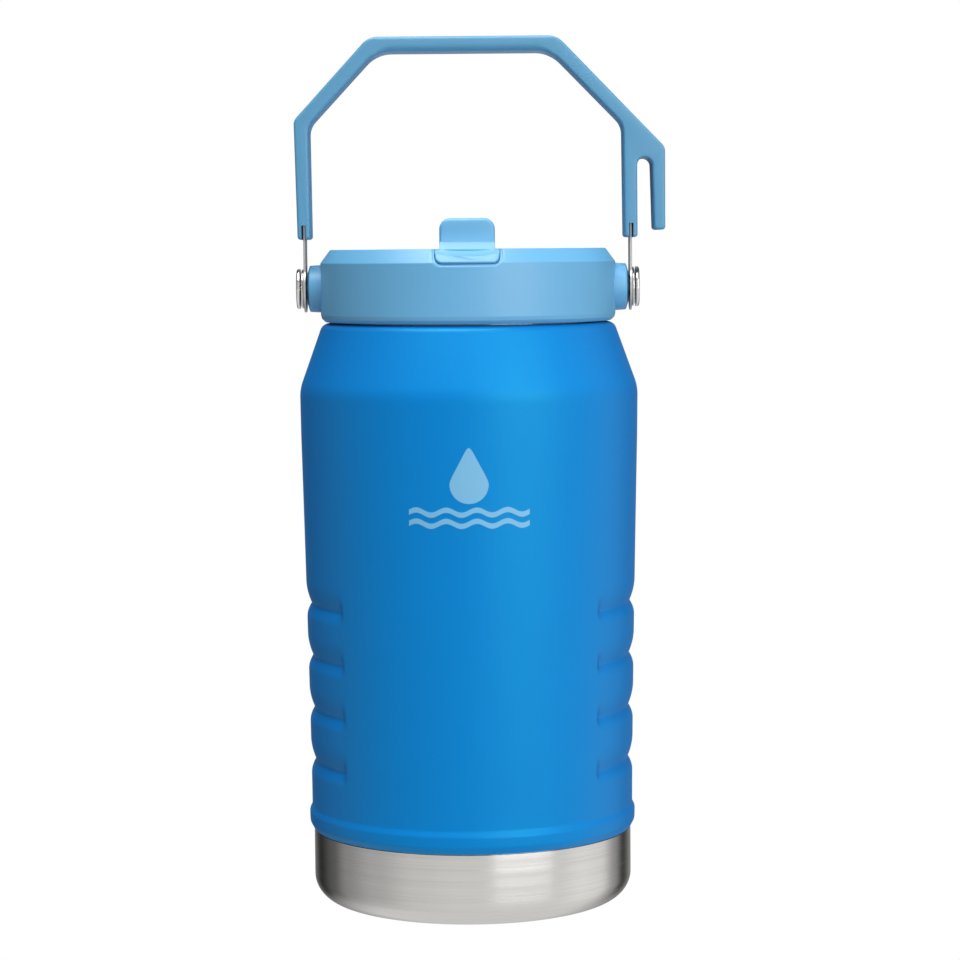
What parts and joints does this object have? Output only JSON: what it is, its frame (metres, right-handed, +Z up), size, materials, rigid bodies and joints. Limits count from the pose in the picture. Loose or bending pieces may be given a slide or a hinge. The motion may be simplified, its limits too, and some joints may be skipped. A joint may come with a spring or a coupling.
{
  "type": "water jug",
  "caption": "Insulated steel water jug with a conical shoulder, grip grooves, a screw lid with a flip-up spout, and a swinging bail handle with an open hook.",
  "frame": {"origin": "centre of the foot on the jug's axis, at the level of the surface it stands on", "axes": "+Z up along the jug's axis, -Y the front with the spout's thumb tab, +X the side with the hook; the handle's pivots lie along X"},
  "size_m": [0.1374, 0.127, 0.3234],
  "materials": {
    "body_coat": "satin powder coat, fine grain",
    "base_steel": "turned, brushed round the axis",
    "vessel_steel": "drawn and electropolished",
    "lid_plastic": "fine moulded texture",
    "handle_plastic": "fine moulded texture",
    "strap_steel": "satin stamped sheet",
    "pivot_steel": "polished",
    "liner_plastic": "smooth moulded",
    "silicone": "matt translucent",
    "straw_plastic": "smooth clear",
    "insert_brass": "turned and knurled",
    "bush_plastic": "low friction moulding",
    "getter_metal": "dull sintered metal"
  },
  "bodies": {
    "jug": {"outer_shell": "body_coat", "base_cup": "base_steel", "base_disc": "base_steel", "inner_vessel": "vessel_steel", "port_bead": "getter_metal", "getter": "getter_metal"},
    "seal": {"lid_gasket": "silicone"},
    "straw_line": {"straw": "straw_plastic"},
    "lid": {"lid_shell": "lid_plastic", "lid_liner": "liner_plastic", "vent_valve": "silicone", "straw_socket": "silicone", "spout_pin_left": "pivot_steel", "spout_pin_right": "pivot_steel", "pivot_insert_left": "insert_brass", "pivot_insert_right": "insert_brass", "pivot_bush_left": "bush_plastic", "pivot_bush_right": "bush_plastic", "pivot_washer_left": "pivot_steel", "pivot_washer_right": "pivot_steel", "pivot_screw_left": "pivot_steel", "pivot_screw_right": "pivot_steel"},
    "bail": {"handle": "handle_plastic", "handle_strap_left": "strap_steel", "handle_strap_right": "strap_steel", "strap_rivet_left": "strap_steel", "strap_rivet_right": "strap_steel"},
    "flip_spout": {"spout": "lid_plastic", "spout_mouthpiece": "silicone"}
  },
  "joints": [
    {"name": "lid_lift", "type": "slide", "parent": "jug", "child": "seal", "axis": [0, 0, 1], "range_m": [0, 0.23]},
    {"name": "lid_rise", "type": "slide", "parent": "seal", "child": "straw_line", "axis": [0, 0, 1], "range_m": [0, 0.0087]},
    {"name": "lid_turn", "type": "hinge", "parent": "straw_line", "child": "lid", "pos_m": [0, 0, 0.2241], "axis": [0, 0, 1], "range_deg": [0, 390]},
    {"name": "handle_swing", "type": "hinge", "parent": "lid", "child": "bail", "pos_m": [0, 0, 0.2305], "axis": [1, 0, 0], "range_deg": [-125, 125]},
    {"name": "spout_flip", "type": "hinge", "parent": "lid", "child": "flip_spout", "pos_m": [0, 0, 0.237], "axis": [-1, 0, 0], "range_deg": [0, 90]}
  ],
  "couplings": [
    {"joint": "lid_rise", "follows": "lid_turn", "m_per_rad": 0.0012732}
  ]
}
